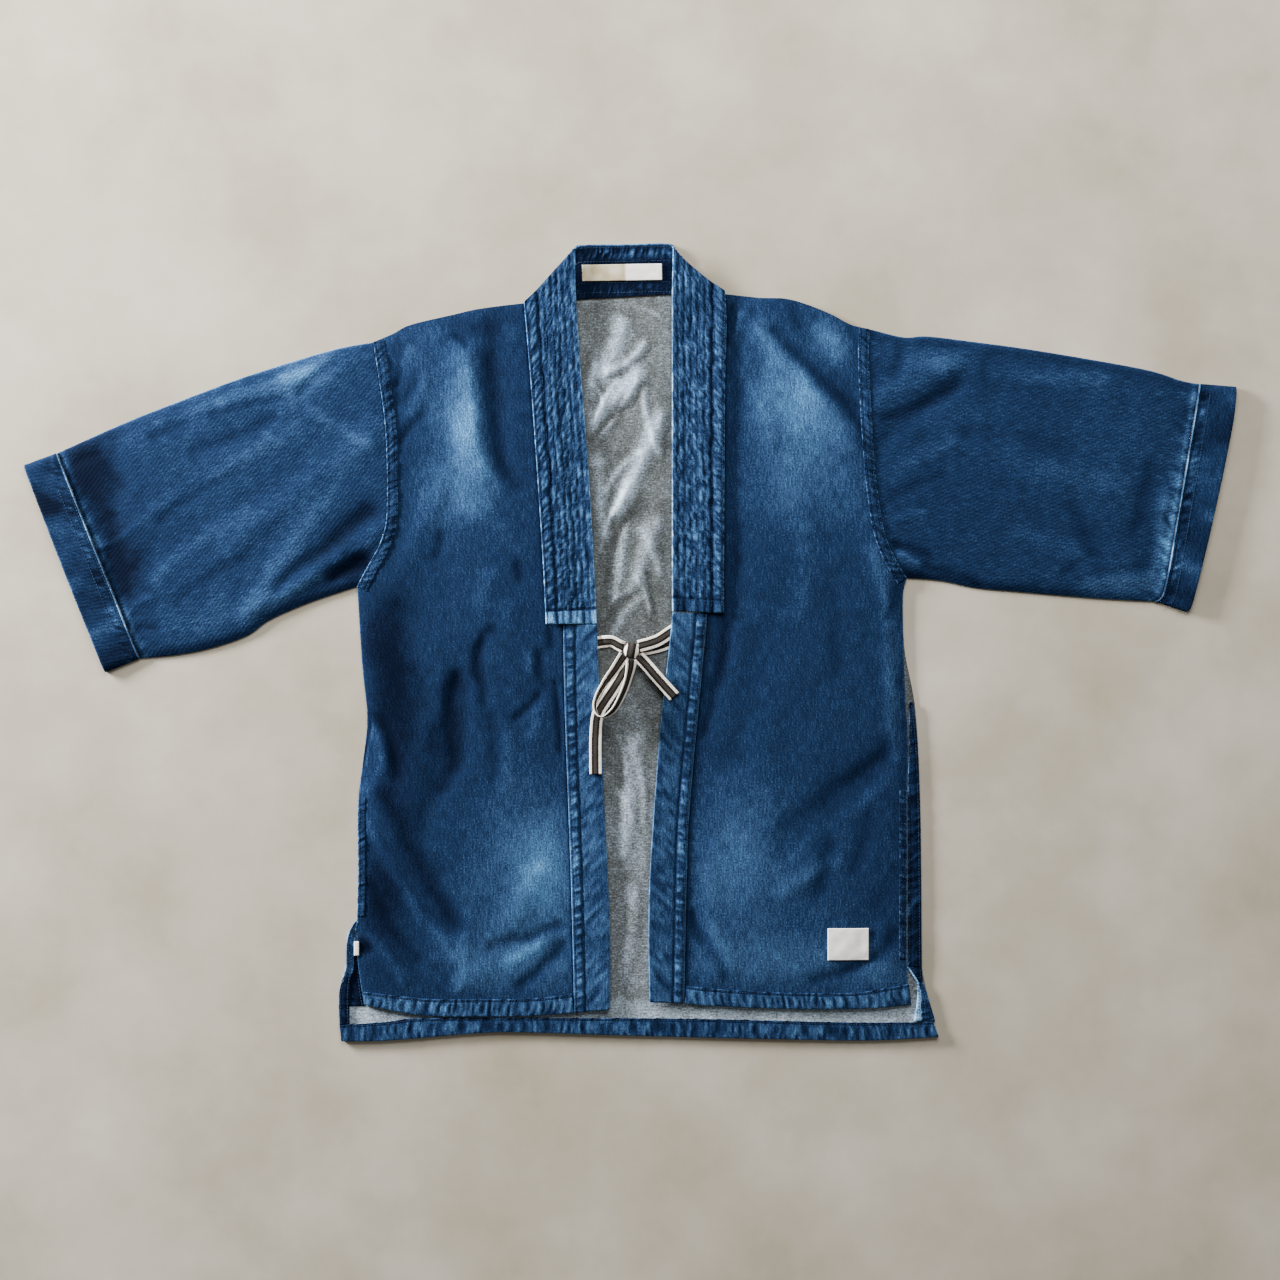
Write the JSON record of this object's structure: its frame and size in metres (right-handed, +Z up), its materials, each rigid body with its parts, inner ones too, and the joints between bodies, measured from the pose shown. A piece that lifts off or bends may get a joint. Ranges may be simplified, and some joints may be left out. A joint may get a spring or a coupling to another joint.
{
  "type": "denim kimono jacket",
  "caption": "Open-fronted denim kimono jacket laid out flat, with wide sleeves, a stitched band collar, side vents and striped tie tapes in a bow.",
  "frame": {"origin": "on the surface that the jacket lies on, under the middle of its outline", "axes": "+Z up from that surface, +Y from the hem to the neck, +X towards the wearer's left sleeve"},
  "size_m": [1.213, 0.7984, 0.0195],
  "materials": {
    "denim": "washed indigo denim, right side, with pale fades",
    "worn_denim": "the same denim, paler and puckered by rows of stitching",
    "wrong_side": "wrong side of the denim, pale grey weft showing",
    "label": "off-white woven cotton, blank",
    "tape": "woven tape, charcoal with cream edges"
  },
  "bodies": {
    "root": {"back_panel": "wrong_side", "back_hem": "denim", "right_front_panel": "denim", "left_front_panel": "denim", "right_front_band": "denim", "left_front_band": "denim", "right_sleeve": "denim", "left_sleeve": "denim", "right_cuff": "denim", "left_cuff": "denim", "right_collar_strip": "worn_denim", "left_collar_strip": "worn_denim", "back_neck_collar": "worn_denim", "right_vent_facing": "denim", "left_vent_facing": "denim", "left_side_return": "denim", "neck_label": "label", "hem_patch": "label", "side_tab": "label", "right_tie_strand": "tape", "left_tie_strand": "tape", "under_bow_loop": "tape", "bow_loop": "tape", "long_tie_tail": "tape", "short_tie_tail": "tape", "bow_knot": "tape"}
  },
  "joints": []
}
